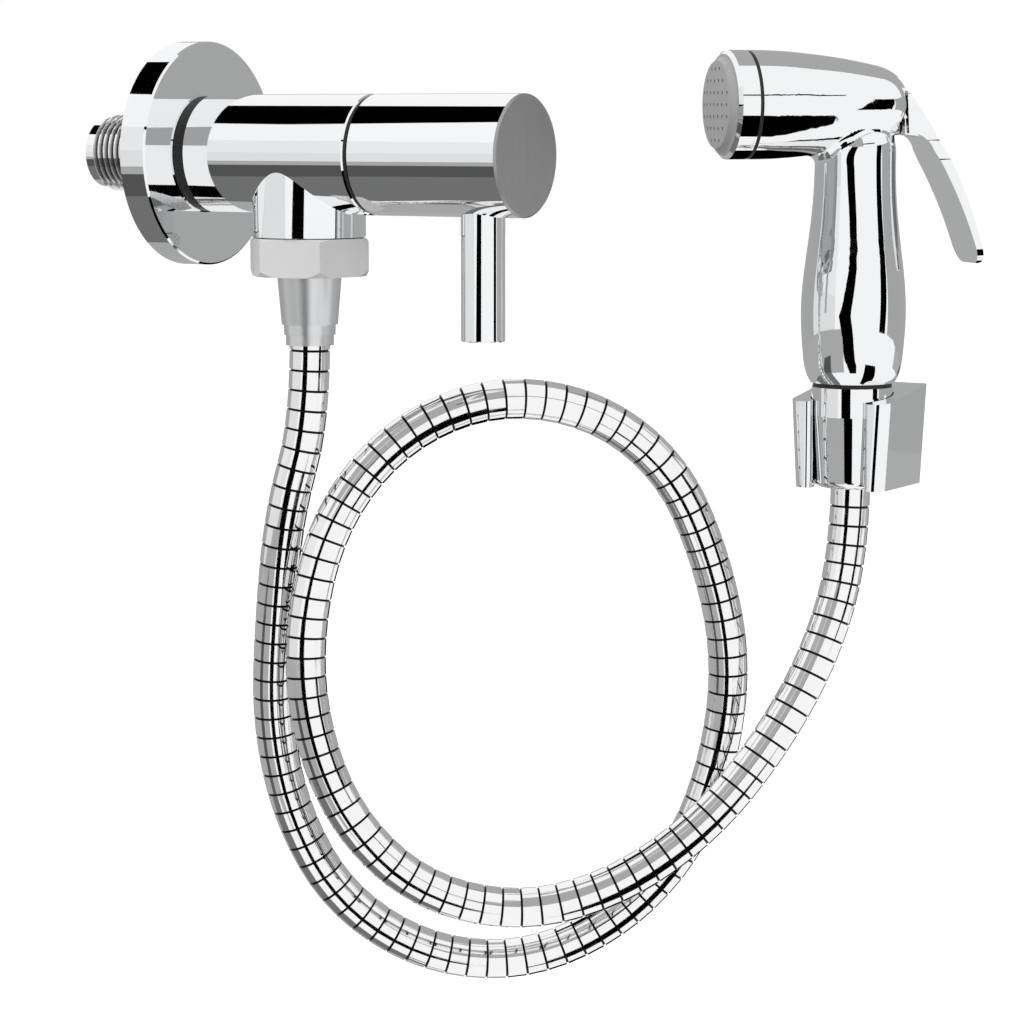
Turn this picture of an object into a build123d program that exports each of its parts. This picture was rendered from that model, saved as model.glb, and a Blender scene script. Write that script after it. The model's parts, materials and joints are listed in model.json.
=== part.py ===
"""Bidet shower kit: a quarter-turn valve, a ribbed metal hose, a trigger handset and its wall holder.

Millimetres. X runs out of the valve's wall along the valve axis, Z is up and Y runs towards the
holder's wall, which meets the valve's wall in a corner. The origin is on the valve axis in the
plane of the valve's wall.
"""
import os
from math import cos, pi, radians, sin, sqrt, tan

from build123d import *

os.makedirs("parts", exist_ok=True)

# Clearances
FIT_GAP = 0.05            # between pieces assembled on one body
RUNNING_GAP = 0.10        # between a shaft and its bore
FREE_GAP = 0.30           # between pieces of two bodies that move apart
SEAM_GAP = 0.10           # between flat faces that turn on each other

# Wall inlet and rose
INLET_DIAMETER = 20.955   # G1/2 male thread
INLET_LENGTH = 28.0       # behind the wall plane
INLET_THREAD_END = 2.0    # inside the flange
INLET_CHAMFER = 1.0
SHANK_DIAMETER = 20.0
INLET_BORE_DIAMETER = 15.0
FLANGE_DIAMETER = 60.6
FLANGE_DEPTH = 8.0
FLANGE_WALL = 1.6
FLANGE_BEVEL = 0.5
GASKET_THICKNESS = 1.7
GASKET_DIAMETER = 31.0

# Valve body
BODY_DIAMETER = 32.0
BODY_LENGTH = 51.5
BODY_BEVEL = 0.4
CHAMBER_DIAMETER = 22.0
CHAMBER_DEPTH = 35.2
SEAM_WIDTH = 1.0
SEAM_RING_WALL = 4.4

# Outlet
OUTLET_X = 40.0
OUTLET_BOSS_DIAMETER = 30.6
OUTLET_BOSS_BOTTOM = -22.0
OUTLET_NIPPLE_DIAMETER = 20.955
OUTLET_NIPPLE_LENGTH = 5.6
OUTLET_BORE_DIAMETER = 13.0

# Cartridge
SEAT_SEAL_THICKNESS = 2.6
SEAT_SEAL_DIAMETER = 20.0
DISC_DIAMETER = 17.0
DISC_THICKNESS = 3.0
DISC_PORT_INNER = 2.6
DISC_PORT_OUTER = 7.0
DISC_PORT_ANGLE = 80.0
POCKET_DEPTH = 15.0
TONGUE_WIDTH = 4.0
TONGUE_DEPTH = 1.0
FOOT_THICKNESS = 3.0
SLEEVE_WINDOW_WIDTH = 6.5
SLEEVE_WINDOW_HEIGHT = 9.0
SPINDLE_DIAMETER = 8.0
SPINDLE_END = 98.0
NOSE_DIAMETER = 14.0
NOSE_LENGTH = 3.0
RING_SEAL_WIDTH = 1.9
RING_SEAL_WALL = 1.5
SPINDLE_SEAL_X = 52.0
CIRCLIP_THICKNESS = 1.0
CIRCLIP_WALL = 2.4
CIRCLIP_GROOVE_DEPTH = 0.6
CIRCLIP_MOUTH = 4.0

# Knob and lever
KNOB_DIAMETER = 32.0
KNOB_LENGTH = 45.5
KNOB_WALL = 3.0
KNOB_FRONT_WALL = 4.7
KNOB_BEVEL = 0.5
INSERT_LENGTH = 34.0
LEVER_X = 94.6
LEVER_DIAMETER = 11.6
LEVER_END = -48.3
LEVER_BEVEL = 0.3
LEVER_STUD_DIAMETER = 6.0
LEVER_STUD_LENGTH = 7.5

# Hose
HOSE_DIAMETER = 11.0
HOSE_BORE_DIAMETER = 8.4
RIB_DEPTH = 0.65
RIB_COUNT = 146
RIB_SLOPE = 0.15          # share of the pitch that each side of a rib takes
RIB_GROOVE = 0.15         # share that lies between two ribs
LINER_DIAMETER = 8.0
LINER_BORE_DIAMETER = 5.8
HOSE_TIE_DEPTH = 4.0      # how far the hose enters each ferrule
BARB_NECK_CLEAR = 2.0     # from a barb's neck to the hose's end

# Outlet nut, washer, barb and ferrule
NUT_ACROSS_FLATS = 29.5
NUT_FLOOR = 1.9
NUT_TURN = 13.5
NUT_BEVEL = 1.6
WASHER_THICKNESS = 1.8
WASHER_BORE_DIAMETER = 9.0
BARB_FLANGE_THICKNESS = 1.2
BARB_DIAMETER = 5.0
BARB_BORE_DIAMETER = 3.4
BARB_NECK_DIAMETER = 7.2
BARB_LENGTH = 14.0
FERRULE_TOP_DIAMETER = 17.4
FERRULE_WAIST_DIAMETER = 15.2
FERRULE_RING_DIAMETER = 14.0
FERRULE_LIP_DIAMETER = 13.0
FERRULE_TAPER_LENGTH = 13.0
FERRULE_LENGTH = 18.6

# Handset: its own axes are s along the head, away from the spray face, and Z up the handle
HAND_X = 158.3
HAND_Y = 92.6
HAND_TURN = 45.0          # direction of s in plan, from +X
HEAD_HEIGHT = 13.2        # height of the head's axis
HEAD_BACK = 14.4
RING_FRONT = -38.4
RING_WIDTH = 5.8
RING_DIAMETER = 29.5
HEAD_OUTLINE = [          # along the head's axis, and in from the ring's radius
    (-24.0, 0.15),
    (-14.0, 0.95),
    (-4.0, 2.25),
    (4.0, 3.75),
    (8.7, 5.15),
    (11.9, 7.55),
    (13.6, 10.35),
]
RING_BEVEL = 0.9
RING_WALL = 1.9
NOZZLE_SEAL_WIDTH = 1.0
FACE_RIM = 1.15           # of the ring, round the face
FACE_THICKNESS = 1.8      # inside the ring
FACE_PROUD = 2.0          # in front of the ring
FACE_ROUND = 1.8
FACE_CROWN = 0.6
SPRAY_HOLE_DIAMETER = 1.0
SPRAY_HOLE_PITCH = 3.2
SPRAY_HOLE_ROWS = 7
SPRAY_HOLE_REACH = 11.0   # from the middle of the face
CAVITY_DEPTH = 11.0
HANDLE_BOTTOM = -62.9
HANDLE_FOOT_RADIUS = 11.6
HANDLE_OUTLINE = [        # radius and height, up to the end inside the head
    (12.7, -60.7),
    (13.9, -54.0),
    (14.45, -44.0),
    (13.9, -34.0),
    (12.5, -23.0),
    (11.4, -12.0),
    (11.1, -2.0),
    (10.8, 3.0),
    (9.3, 6.6),
    (5.5, 9.2),
]
HANDLE_BORE_DIAMETER = 12.0
HANDLE_BORE_TOP = -8.0
COLLAR_SEAL_WIDTH = 1.2
COLLAR_SEAL_INSET = 0.3   # from the cone nut's edge
SPIGOT_DIAMETER = 18.8
SPIGOT_LENGTH = 9.0
HEAD_FILLET = 3.0

# Handset valve
STEM_HEIGHT = 7.0
STEM_DIAMETER = 4.0
VALVE_BORE_DIAMETER = 10.0
SEAT_DIAMETER = 6.4
SEAT_PLACE = -10.0
SEAT_WIDTH = 2.0
GLAND_FRONT = -1.6
GLAND_DIAMETER = 8.6
PLUNGER_SEAL_THICKNESS = 1.7
PLUNGER_FLANGE_THICKNESS = 1.4
PLUNGER_FLANGE_DIAMETER = 7.6
SPRING_WIRE_DIAMETER = 0.7
SPRING_DIAMETER = 7.0
SPRING_TURNS = 5
RETAINER_THICKNESS = 2.0
FEED_HOLE_DIAMETER = 4.6
FEED_HOLE_PLACE = -4.0

# Trigger
HINGE_S = 8.6
HINGE_Z = 16.0
TRIGGER_WIDTH = 17.0
TRIGGER_NECK_WIDTH = 14.0
TRIGGER_ROOT_WIDTH = 9.0
TRIGGER_BOTTOM = -30.4
TRIGGER_CORNER = 5.0
NECK_BOTTOM = 4.0         # where the lever starts to widen
FLARE_BOTTOM = -2.0       # where it has its full width
LEVER_FOOT = [(15.6, 5.2), (12.9, 5.5), (12.3, 17.0), (13.2, 16.4)]
LEVER_FRONT = [(13.2, 16.4), (26.9, -6.0), (35.4, -29.0)]
LEVER_TIP = [(35.4, -29.0), (35.0, -30.2), (33.9, -30.1)]
LEVER_BACK = [(33.9, -30.1), (26.7, -11.4), (19.95, 0.9)]
LEVER_HEEL = [(19.95, 0.9), (18.0, 3.9), (15.6, 5.2)]
ARM_TOP = [(11.0, 19.2), (13.2, 16.4), (17.4, 10.0), (17.4, 4.6)]
TRIGGER_PIN_DIAMETER = 3.0
PIN_NEAR_END = 7.0        # from the head's middle plane
PIN_FAR_END = 7.6
PUSH_FACE = 12.6
PUSH_BOTTOM = 5.2         # of the flat that pushes the stem
PUSH_TOP = 9.4
SLOT_FRONT = 3.9
SLOT_FLOOR = 4.0
WINDOW_FRONT = 9.9        # wider mouth of the slot, for the lever's neck
WINDOW_TOP = 17.8

# Cone nut
CONE_TOP_DIAMETER = 22.4
CONE_BOTTOM_DIAMETER = 20.2
CONE_LENGTH = 27.9
CONE_SHOULDER = 8.0
CONE_ROUND = 2.0
SLEEVE_DIAMETER = 15.2
SLEEVE_LENGTH = 14.5

# Holder
HOLDER_WALL = 3.5         # beside the socket at the top
HOLDER_FOOT_WALL = 3.0
HOLDER_BACK_WALL = 6.5    # between the socket and the wall
HOLDER_ARM_TIP = 1.74     # of each arm beside the slot, at the top
HOLDER_TOP = -64.0
HOLDER_HEIGHT = 28.0
HOLDER_TOP_FALL = 4.0     # from the wall to the front
HOLDER_SLOT_GAP = 0.4     # each side of the hose's sleeve
HOLDER_CORNER = 3.6
HOLDER_BACK_CORNER = 1.2
HOLDER_LIP = 1.6
SCREW_HOLE_DIAMETER = 4.2
SCREW_HEAD_DIAMETER = 7.6
SCREW_SPACING = 13.0

# Derived places
body_back = FLANGE_DEPTH + GASKET_THICKNESS
body_front = body_back + BODY_LENGTH
chamber_back = body_front - CHAMBER_DEPTH
knob_back = body_front + SEAM_WIDTH
knob_front = knob_back + KNOB_LENGTH
body_radius = BODY_DIAMETER / 2
inlet_radius = INLET_DIAMETER / 2
chamber_radius = CHAMBER_DIAMETER / 2
knob_bore_radius = KNOB_DIAMETER / 2 - KNOB_WALL
spindle_radius = SPINDLE_DIAMETER / 2
disc_radius = DISC_DIAMETER / 2
pocket_radius = disc_radius + FIT_GAP
cartridge_radius = chamber_radius - FIT_GAP
cartridge_back = chamber_back + SEAT_SEAL_THICKNESS
fixed_disc_back = cartridge_back
turning_disc_back = fixed_disc_back + DISC_THICKNESS + SEAM_GAP
foot_back = turning_disc_back + DISC_THICKNESS + SEAM_GAP
foot_front = foot_back + FOOT_THICKNESS
pocket_front = cartridge_back + POCKET_DEPTH
nose_front = body_front + NOSE_LENGTH
circlip_back = nose_front + SEAM_GAP
insert_front = knob_front - KNOB_FRONT_WALL - FIT_GAP
insert_back = insert_front - INSERT_LENGTH

nipple_bottom = OUTLET_BOSS_BOTTOM - OUTLET_NIPPLE_LENGTH
outlet_washer_bottom = nipple_bottom - WASHER_THICKNESS
outlet_flange_bottom = outlet_washer_bottom - BARB_FLANGE_THICKNESS
nut_top = OUTLET_BOSS_BOTTOM - FREE_GAP
nut_bottom = outlet_flange_bottom - NUT_FLOOR
nut_bore_radius = OUTLET_NIPPLE_DIAMETER / 2 + FIT_GAP
ferrule_top = nut_bottom - FIT_GAP
ferrule_mouth = ferrule_top - FERRULE_LENGTH
hose_radius = HOSE_DIAMETER / 2
hose_start = ferrule_mouth + HOSE_TIE_DEPTH

spigot_bottom = HANDLE_BOTTOM - COLLAR_SEAL_WIDTH - SPIGOT_LENGTH
cone_top = HANDLE_BOTTOM - COLLAR_SEAL_WIDTH
cone_bottom = cone_top - CONE_LENGTH
cone_washer_bottom = spigot_bottom - WASHER_THICKNESS
sleeve_flange_bottom = cone_washer_bottom - BARB_FLANGE_THICKNESS
sleeve_top = sleeve_flange_bottom - FIT_GAP
sleeve_mouth = sleeve_top - SLEEVE_LENGTH
hose_end = sleeve_mouth + HOSE_TIE_DEPTH
spigot_radius = SPIGOT_DIAMETER / 2
cone_bore_radius = spigot_radius + FIT_GAP
cone_top_radius = CONE_TOP_DIAMETER / 2
cone_bottom_radius = CONE_BOTTOM_DIAMETER / 2

holder_bottom = HOLDER_TOP - HOLDER_HEIGHT
socket_top = cone_top_radius + FREE_GAP
socket_bottom = cone_bottom_radius + FREE_GAP
holder_half_width = socket_top + HOLDER_WALL
foot_half_width = socket_bottom + HOLDER_FOOT_WALL
slot_half_width = SLEEVE_DIAMETER / 2 + HOLDER_SLOT_GAP
holder_front = HAND_Y - sqrt(socket_top ** 2 - slot_half_width ** 2) - HOLDER_ARM_TIP
holder_back = HAND_Y + socket_top + HOLDER_BACK_WALL

# Hose route: from the valve's ferrule, round the loop, up to the handset's sleeve
hose_route = [
    (OUTLET_X, 0, hose_start),
    (OUTLET_X, 0, -71),
    (33.5, -3.5, -97),
    (29, -2, -126),
    (26, 0, -155),
    (29, 5, -183),
    (39, 14, -208),
    (59, 27, -224),
    (82, 43, -227),
    (103, 59, -216),
    (119, 71, -195),
    (127, 76, -168),
    (130, 76, -140),
    (126, 71, -112),
    (118, 62, -86),
    (101, 48, -69),
    (79, 30, -65),
    (59, 13, -76),
    (45.7, 0.7, -98),
    (41, -5.5, -126),
    (42, -5.5, -154),
    (51, -1, -181),
    (68, 10, -201),
    (91, 26, -208),
    (113, 42, -201),
    (131, 58, -185),
    (144, 71, -164),
    (154, 83, -139),
    (HAND_X, HAND_Y, -111),
    (HAND_X, HAND_Y, hose_end),
]
ARC_SHARE = 0.45          # of the shorter run beside a corner


def corner_radii(points):
    """Radius of the arc at each inner point of a route."""
    radii = []
    for before, corner, after in zip(points, points[1:], points[2:]):
        arriving = Vector(*corner) - Vector(*before)
        leaving = Vector(*after) - Vector(*corner)
        half_turn = radians(arriving.get_angle(leaving)) / 2
        radii.append(ARC_SHARE * min(arriving.length, leaving.length) / tan(half_turn))
    return radii


# Planes and axes
valve_axis = Axis((0, 0, 0), (1, 0, 0))
valve_profile = Plane.XZ                      # x along the valve, y up
outlet_axis = Axis((OUTLET_X, 0, 0), (0, 0, 1))
outlet_profile = Plane(origin=(OUTLET_X, 0, 0), x_dir=(1, 0, 0), z_dir=(0, -1, 0))
hand_axis = Axis((HAND_X, HAND_Y, 0), (0, 0, 1))
s_dir = Vector(cos(radians(HAND_TURN)), sin(radians(HAND_TURN)), 0)
side_dir = Vector(sin(radians(HAND_TURN)), -cos(radians(HAND_TURN)), 0)
hand_profile = Plane(origin=(HAND_X, HAND_Y, 0), x_dir=s_dir, z_dir=side_dir)


def across_valve(x):
    """Plane square to the valve axis, facing out of the wall."""
    return Plane(origin=(x, 0, 0), x_dir=(0, 1, 0), z_dir=(1, 0, 0))


def hand_point(s, side, z):
    """Point of the handset's own axes in the kit's frame."""
    return Vector(HAND_X, HAND_Y, z) + s_dir * s + side_dir * side


def across_head(s, z):
    """Plane square to the head's axis, facing away from the spray face."""
    return Plane(origin=hand_point(s, 0, z), x_dir=(0, 0, 1), z_dir=s_dir)


def save(piece, name):
    """Label a finished piece and write its file."""
    piece.label = name
    export_step(piece, f"parts/{name}.step")


# Flange: a cup that covers the hole in the wall
with BuildPart() as flange:
    with BuildSketch(valve_profile):
        with BuildLine():
            Polyline(
                (0, FLANGE_DIAMETER / 2 - FLANGE_WALL),
                (0, FLANGE_DIAMETER / 2),
                (FLANGE_DEPTH - FLANGE_BEVEL, FLANGE_DIAMETER / 2),
                (FLANGE_DEPTH, FLANGE_DIAMETER / 2 - FLANGE_BEVEL),
                (FLANGE_DEPTH, inlet_radius + RUNNING_GAP),
                (FLANGE_DEPTH - FLANGE_WALL, inlet_radius + RUNNING_GAP),
                (FLANGE_DEPTH - FLANGE_WALL, FLANGE_DIAMETER / 2 - FLANGE_WALL),
                close=True,
            )
        make_face()
    revolve(axis=valve_axis)
save(flange.part, "wall_flange")

with BuildPart() as flange_gasket:
    with BuildSketch(across_valve(FLANGE_DEPTH)):
        Circle(GASKET_DIAMETER / 2)
        Circle(inlet_radius + RUNNING_GAP, mode=Mode.SUBTRACT)
    extrude(amount=GASKET_THICKNESS)
save(flange_gasket.part, "flange_gasket")

# Valve body: inlet, barrel and outlet boss in one casting
with BuildPart() as valve_body:
    with BuildSketch(valve_profile):
        with BuildLine():
            Polyline(
                (-INLET_LENGTH, 0),
                (-INLET_LENGTH, inlet_radius - INLET_CHAMFER),
                (INLET_CHAMFER - INLET_LENGTH, inlet_radius),
                (INLET_THREAD_END, inlet_radius),
                (INLET_THREAD_END, SHANK_DIAMETER / 2),
                (body_back, SHANK_DIAMETER / 2),
                (body_back, body_radius - BODY_BEVEL),
                (body_back + BODY_BEVEL, body_radius),
                (body_front - BODY_BEVEL, body_radius),
                (body_front, body_radius - BODY_BEVEL),
                (body_front, 0),
                close=True,
            )
        make_face()
    revolve(axis=valve_axis)
    with BuildSketch(Plane.XY.offset(OUTLET_BOSS_BOTTOM)):
        with Locations((OUTLET_X, 0)):
            Circle(OUTLET_BOSS_DIAMETER / 2)
    extrude(amount=-OUTLET_BOSS_BOTTOM)
    with BuildSketch(Plane.XY.offset(nipple_bottom)):
        with Locations((OUTLET_X, 0)):
            Circle(OUTLET_NIPPLE_DIAMETER / 2)
    extrude(amount=OUTLET_NIPPLE_LENGTH)
    with BuildSketch(across_valve(chamber_back)):
        Circle(chamber_radius)
    extrude(amount=CHAMBER_DEPTH, mode=Mode.SUBTRACT)
    with BuildSketch(across_valve(-INLET_LENGTH)):
        Circle(INLET_BORE_DIAMETER / 2)
    extrude(amount=INLET_LENGTH + chamber_back, mode=Mode.SUBTRACT)
    with BuildSketch(Plane.XY.offset(nipple_bottom)):
        with Locations((OUTLET_X, 0)):
            Circle(OUTLET_BORE_DIAMETER / 2)
    extrude(amount=-nipple_bottom, mode=Mode.SUBTRACT)
save(valve_body.part, "valve_body")

# Cartridge: seat seal, two ceramic discs, sleeve, spindle and its seals
with BuildPart() as seat_seal:
    with BuildSketch(across_valve(chamber_back)):
        Circle(SEAT_SEAL_DIAMETER / 2)
        Circle(DISC_PORT_OUTER, mode=Mode.SUBTRACT)
    extrude(amount=SEAT_SEAL_THICKNESS)
save(seat_seal.part, "seat_seal")


def ported_disc(x, slot_depth):
    """Ceramic disc with two ports, one each side of the axis, and a slot across its front."""
    half = DISC_PORT_ANGLE / 2
    with BuildPart() as disc:
        with BuildSketch(across_valve(x)):
            Circle(disc_radius)
            for middle in (0, 180):
                with BuildLine(mode=Mode.PRIVATE) as port:
                    outer = CenterArc((0, 0), DISC_PORT_OUTER, middle - half, DISC_PORT_ANGLE)
                    inner = CenterArc((0, 0), DISC_PORT_INNER, middle - half, DISC_PORT_ANGLE)
                    Line(outer @ 0, inner @ 0)
                    Line(outer @ 1, inner @ 1)
                make_face(port.edges(), mode=Mode.SUBTRACT)
        extrude(amount=DISC_THICKNESS)
        if slot_depth:
            with BuildSketch(across_valve(x + DISC_THICKNESS)):
                Rectangle(TONGUE_WIDTH + 2 * FIT_GAP, DISC_DIAMETER)
            extrude(amount=-slot_depth, mode=Mode.SUBTRACT)
    return disc


fixed_disc = ported_disc(fixed_disc_back, 0)
save(fixed_disc.part, "fixed_ceramic_disc")

turning_disc = ported_disc(turning_disc_back, TONGUE_DEPTH + FIT_GAP)
save(turning_disc.part, "turning_ceramic_disc")

with BuildPart() as cartridge:
    with BuildSketch(across_valve(cartridge_back)):
        Circle(cartridge_radius)
    extrude(amount=body_front - cartridge_back)
    with BuildSketch(across_valve(body_front)):
        Circle(NOSE_DIAMETER / 2)
    extrude(amount=NOSE_LENGTH)
    with BuildSketch(across_valve(cartridge_back)):
        Circle(pocket_radius)
    extrude(amount=POCKET_DEPTH, mode=Mode.SUBTRACT)
    with BuildSketch(across_valve(pocket_front)):
        Circle(spindle_radius + RUNNING_GAP)
    extrude(amount=nose_front - pocket_front, mode=Mode.SUBTRACT)
    with BuildSketch(Plane.XY.offset(-cartridge_radius)):
        with Locations((foot_back + SLEEVE_WINDOW_WIDTH / 2, 0)):
            Rectangle(SLEEVE_WINDOW_WIDTH, SLEEVE_WINDOW_HEIGHT)
    extrude(amount=2 * cartridge_radius, mode=Mode.SUBTRACT)
    with BuildSketch(across_valve(SPINDLE_SEAL_X)):
        Circle(spindle_radius + RING_SEAL_WALL)
    extrude(amount=RING_SEAL_WIDTH + 2 * FIT_GAP, mode=Mode.SUBTRACT)
save(cartridge.part, "cartridge_sleeve")

with BuildPart() as spindle:
    with BuildSketch(across_valve(foot_back)):
        Circle(pocket_radius - RUNNING_GAP)
        Rectangle(2 * DISC_PORT_INNER, DISC_DIAMETER, mode=Mode.INTERSECT)
    extrude(amount=FOOT_THICKNESS)
    with BuildSketch(across_valve(foot_back - TONGUE_DEPTH)):
        Circle(disc_radius - FIT_GAP)
        Rectangle(TONGUE_WIDTH, DISC_DIAMETER, mode=Mode.INTERSECT)
    extrude(amount=TONGUE_DEPTH)
    with BuildSketch(across_valve(foot_front)):
        Circle(spindle_radius)
    extrude(amount=SPINDLE_END - foot_front)
    with BuildSketch(across_valve(circlip_back)):
        Circle(spindle_radius)
        Circle(spindle_radius - CIRCLIP_GROOVE_DEPTH, mode=Mode.SUBTRACT)
    extrude(amount=CIRCLIP_THICKNESS + 2 * FIT_GAP, mode=Mode.SUBTRACT)
save(spindle.part, "spindle")

with BuildPart() as spindle_seal:
    with BuildSketch(across_valve(SPINDLE_SEAL_X + FIT_GAP)):
        Circle(spindle_radius + RING_SEAL_WALL - FIT_GAP)
        Circle(spindle_radius + RUNNING_GAP, mode=Mode.SUBTRACT)
    extrude(amount=RING_SEAL_WIDTH)
    fillet(spindle_seal.edges().filter_by(GeomType.CIRCLE), RING_SEAL_WALL / 4)
save(spindle_seal.part, "spindle_o_ring")

with BuildPart() as circlip:
    with BuildSketch(across_valve(circlip_back + FIT_GAP)):
        Circle(spindle_radius - CIRCLIP_GROOVE_DEPTH + FIT_GAP + CIRCLIP_WALL)
        Circle(spindle_radius - CIRCLIP_GROOVE_DEPTH + FIT_GAP, mode=Mode.SUBTRACT)
        with Locations((spindle_radius + CIRCLIP_WALL / 2, 0)):
            Rectangle(2 * spindle_radius, CIRCLIP_MOUTH, mode=Mode.SUBTRACT)
    extrude(amount=CIRCLIP_THICKNESS)
save(circlip.part, "spindle_circlip")

with BuildPart() as seam_ring:
    with BuildSketch(across_valve(body_front)):
        Circle(body_radius - BODY_BEVEL)
        Circle(body_radius - BODY_BEVEL - SEAM_RING_WALL, mode=Mode.SUBTRACT)
    extrude(amount=SEAM_WIDTH - SEAM_GAP)
save(seam_ring.part, "seam_ring")

# Knob: a closed sleeve, the insert that fits it to the spindle, and the lever pin
with BuildPart() as knob:
    with BuildSketch(across_valve(knob_back)):
        Circle(KNOB_DIAMETER / 2)
    extrude(amount=KNOB_LENGTH)
    chamfer(knob.edges().filter_by(GeomType.CIRCLE), KNOB_BEVEL)
    with BuildSketch(across_valve(knob_back)):
        Circle(knob_bore_radius)
    extrude(amount=KNOB_LENGTH - KNOB_FRONT_WALL, mode=Mode.SUBTRACT)
    with BuildSketch(Plane.XY):
        with Locations((LEVER_X, 0)):
            Circle(LEVER_DIAMETER / 2 + FIT_GAP)
    extrude(amount=-KNOB_DIAMETER, mode=Mode.SUBTRACT)
save(knob.part, "knob")

with BuildPart() as knob_insert:
    with BuildSketch(across_valve(insert_back)):
        Circle(knob_bore_radius - FIT_GAP)
        Circle(spindle_radius + FIT_GAP, mode=Mode.SUBTRACT)
    extrude(amount=INSERT_LENGTH)
    with BuildSketch(Plane.XY):
        with Locations((LEVER_X, 0)):
            Circle(LEVER_STUD_DIAMETER / 2 + FIT_GAP)
    extrude(amount=-KNOB_DIAMETER, mode=Mode.SUBTRACT)
save(knob_insert.part, "knob_insert")

lever_top = -knob_bore_radius - FIT_GAP
with BuildPart() as lever_pin:
    with BuildSketch(Plane.XY.offset(LEVER_END)):
        with Locations((LEVER_X, 0)):
            Circle(LEVER_DIAMETER / 2)
    extrude(amount=lever_top - LEVER_END)
    chamfer(lever_pin.edges().filter_by(GeomType.CIRCLE).sort_by(Axis.Z)[0], LEVER_BEVEL)
    with BuildSketch(Plane.XY.offset(lever_top)):
        with Locations((LEVER_X, 0)):
            Circle(LEVER_STUD_DIAMETER / 2)
    extrude(amount=LEVER_STUD_LENGTH)
save(lever_pin.part, "lever_pin")

# Outlet nut, washer, barb and ferrule
with BuildPart() as outlet_nut:
    with BuildSketch(Plane.XY.offset(nut_bottom)):
        with Locations((OUTLET_X, 0)):
            RegularPolygon(NUT_ACROSS_FLATS / 2, 6, major_radius=False, rotation=NUT_TURN)
    extrude(amount=nut_top - nut_bottom)
    across_corners = NUT_ACROSS_FLATS / sqrt(3)
    with BuildSketch(outlet_profile):
        with BuildLine():
            Polyline(
                (0, nut_bottom),
                (across_corners - NUT_BEVEL, nut_bottom),
                (across_corners, nut_bottom + NUT_BEVEL),
                (across_corners, nut_top - NUT_BEVEL / 2),
                (across_corners - NUT_BEVEL, nut_top),
                (0, nut_top),
                close=True,
            )
        make_face()
    revolve(axis=outlet_axis, mode=Mode.INTERSECT)
    with BuildSketch(Plane.XY.offset(nut_bottom + NUT_FLOOR)):
        with Locations((OUTLET_X, 0)):
            Circle(nut_bore_radius)
    extrude(amount=nut_top - nut_bottom, mode=Mode.SUBTRACT)
    with BuildSketch(Plane.XY.offset(nut_bottom)):
        with Locations((OUTLET_X, 0)):
            Circle(BARB_NECK_DIAMETER / 2 + FREE_GAP)
    extrude(amount=NUT_FLOOR, mode=Mode.SUBTRACT)
save(outlet_nut.part, "outlet_nut")


def washer(centre, top, outer_radius):
    """Flat rubber washer under a male thread."""
    with BuildPart() as ring:
        with BuildSketch(Plane(origin=(*centre, top - WASHER_THICKNESS))):
            Circle(outer_radius)
            Circle(WASHER_BORE_DIAMETER / 2, mode=Mode.SUBTRACT)
        extrude(amount=WASHER_THICKNESS)
    return ring


def barb(centre, flange_top, flange_radius, neck_bottom):
    """Flanged tail that the liner is pushed over."""
    with BuildPart() as tail:
        with BuildSketch(Plane(origin=(*centre, flange_top))):
            Circle(flange_radius)
        extrude(amount=-BARB_FLANGE_THICKNESS)
        with BuildSketch(Plane(origin=(*centre, flange_top))):
            Circle(BARB_NECK_DIAMETER / 2)
        extrude(amount=neck_bottom - flange_top)
        with BuildSketch(Plane(origin=(*centre, flange_top))):
            Circle(BARB_DIAMETER / 2)
        extrude(amount=neck_bottom - flange_top - BARB_LENGTH)
        with BuildSketch(Plane(origin=(*centre, flange_top))):
            Circle(BARB_BORE_DIAMETER / 2)
        extrude(amount=neck_bottom - flange_top - BARB_LENGTH, mode=Mode.SUBTRACT)
    return tail


outlet = (OUTLET_X, 0)
outlet_washer = washer(outlet, nipple_bottom, nut_bore_radius - FREE_GAP)
save(outlet_washer.part, "outlet_washer")

ferrule_neck_bottom = hose_start + BARB_NECK_CLEAR
outlet_barb = barb(outlet, outlet_washer_bottom, nut_bore_radius - FREE_GAP, ferrule_neck_bottom)
save(outlet_barb.part, "valve_end_barb")

taper_bottom = ferrule_top - FERRULE_TAPER_LENGTH
ring_bottom = (taper_bottom + ferrule_mouth) / 2
with BuildPart() as valve_end_ferrule:
    with BuildSketch(outlet_profile):
        with BuildLine():
            Polyline(
                (BARB_NECK_DIAMETER / 2 + FIT_GAP, ferrule_top),
                (FERRULE_TOP_DIAMETER / 2, ferrule_top),
                (FERRULE_WAIST_DIAMETER / 2, taper_bottom),
                (FERRULE_RING_DIAMETER / 2, taper_bottom - FIT_GAP),
                (FERRULE_RING_DIAMETER / 2 - FIT_GAP, ring_bottom),
                (FERRULE_LIP_DIAMETER / 2, ring_bottom - FIT_GAP),
                (FERRULE_LIP_DIAMETER / 2, ferrule_mouth),
                (hose_radius + RUNNING_GAP, ferrule_mouth),
                (hose_radius + RUNNING_GAP, hose_start),
                (BARB_DIAMETER / 2 + FIT_GAP, hose_start),
                (BARB_DIAMETER / 2 + FIT_GAP, ferrule_neck_bottom),
                (BARB_NECK_DIAMETER / 2 + FIT_GAP, ferrule_neck_bottom),
                close=True,
            )
        make_face()
    revolve(axis=outlet_axis)
save(valve_end_ferrule.part, "valve_end_ferrule")

# Hose: a ribbed metal armour round a plain rubber liner, on one route
route_radii = corner_radii(hose_route)
with BuildLine() as route:
    FilletPolyline(*hose_route, radius=route_radii)
hose_path = route.wire()
hose_length = hose_path.length
loop_facing = Vector(sin(radians(30)), -cos(radians(30)), 0)


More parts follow.
